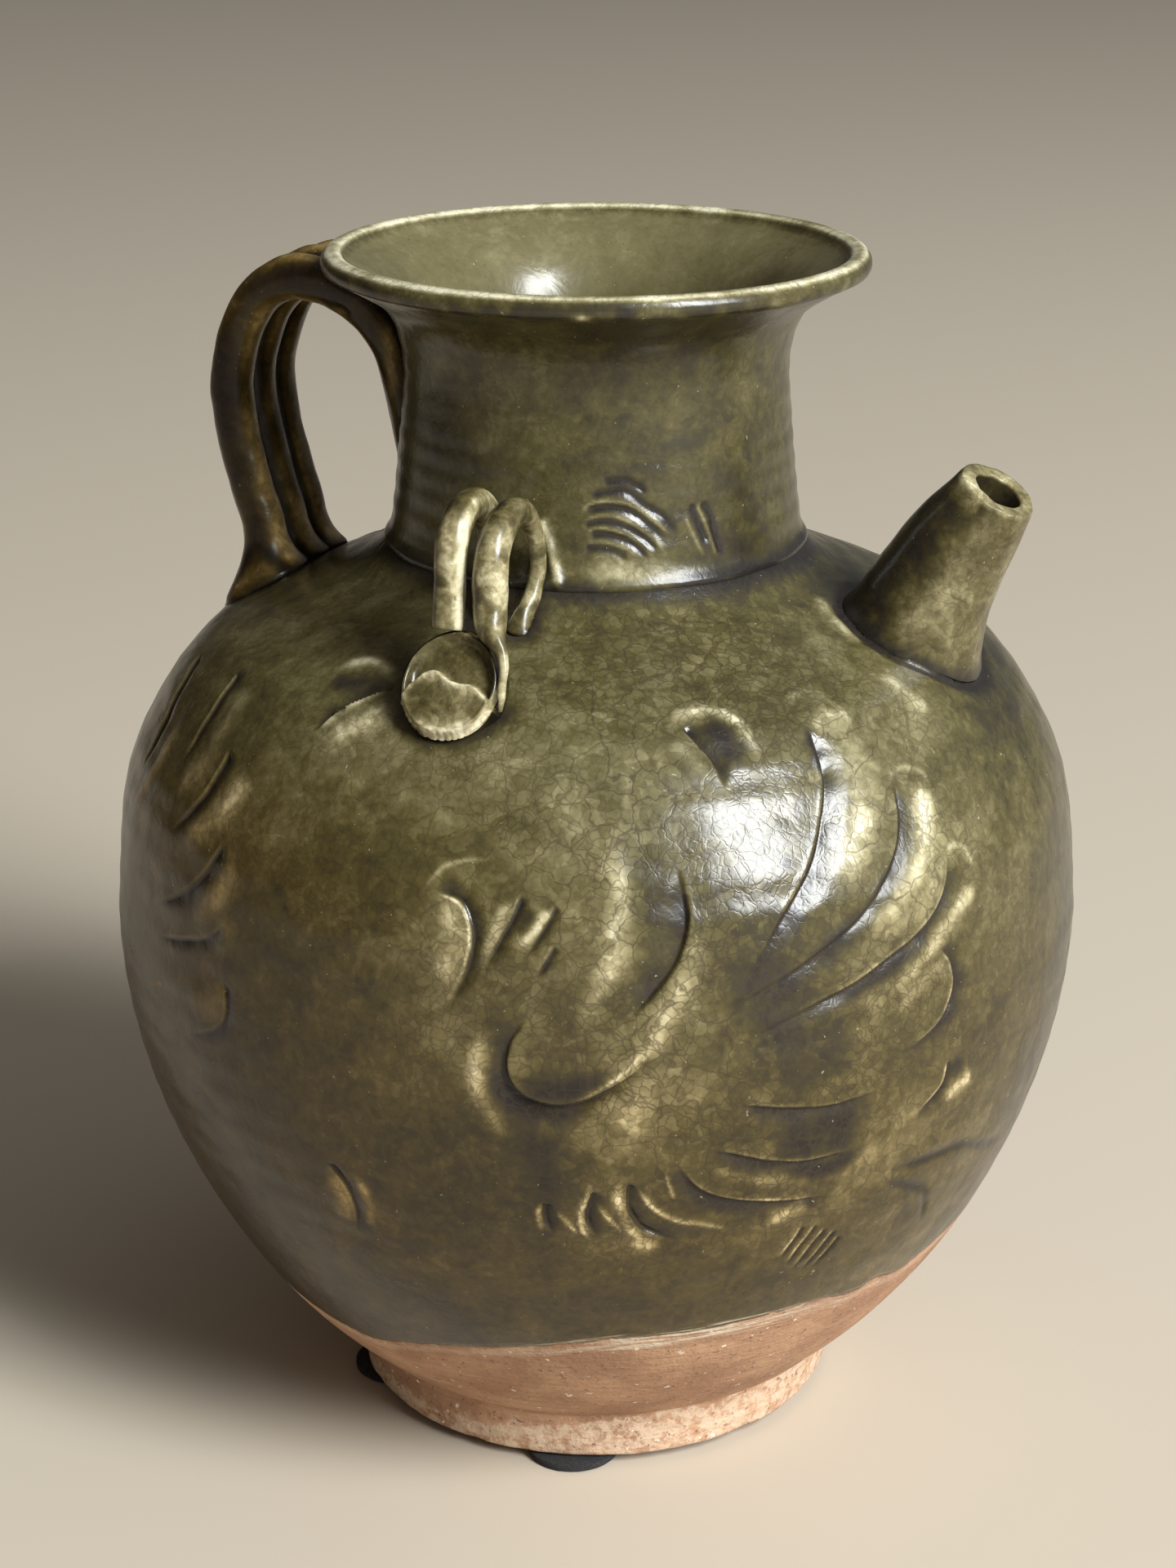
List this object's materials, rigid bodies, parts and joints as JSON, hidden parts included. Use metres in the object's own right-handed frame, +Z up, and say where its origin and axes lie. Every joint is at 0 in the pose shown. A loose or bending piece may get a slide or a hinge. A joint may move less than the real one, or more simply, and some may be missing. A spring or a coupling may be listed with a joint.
{
  "type": "ceramic jug",
  "caption": "Round stoneware ewer with carved celadon glaze, wide neck and rolled lip, short tapered spout, rolled-clay strap handle and looped shoulder lugs.",
  "frame": {"origin": "centre of the jug's upright axis, on the plane that the foot pads rest on", "axes": "+Z up along the pot's axis, +X towards the spout, -X towards the handle, the lugs at -Y and +Y"},
  "size_m": [0.1644, 0.1644, 0.2015],
  "materials": {
    "pot_glaze": "glossy olive celadon over grey stoneware, finely crackled, darker where it pools in the carving",
    "spout_glaze": "glossy olive celadon, pale and worn at the cut tip",
    "handle_glaze": "glossy browner celadon, dark in the grooves between the rolls",
    "lug_glaze": "glossy celadon, thin and pale on the crests",
    "bare_clay": "matt worn stoneware, unglazed",
    "pad_felt": "matt black felt"
  },
  "bodies": {
    "root": {"body": "pot_glaze", "neck": "pot_glaze", "spout": "spout_glaze", "foot_ring": "bare_clay", "handle_roll_near": "handle_glaze", "handle_roll_middle": "handle_glaze", "handle_roll_far": "handle_glaze", "lug_coil_near_left": "lug_glaze", "lug_coil_near_right": "lug_glaze", "lug_button_near": "lug_glaze", "lug_coil_far_left": "lug_glaze", "lug_coil_far_right": "lug_glaze", "lug_button_far": "lug_glaze", "foot_pad_1": "pad_felt", "foot_pad_2": "pad_felt", "foot_pad_3": "pad_felt", "foot_pad_4": "pad_felt"}
  },
  "joints": []
}
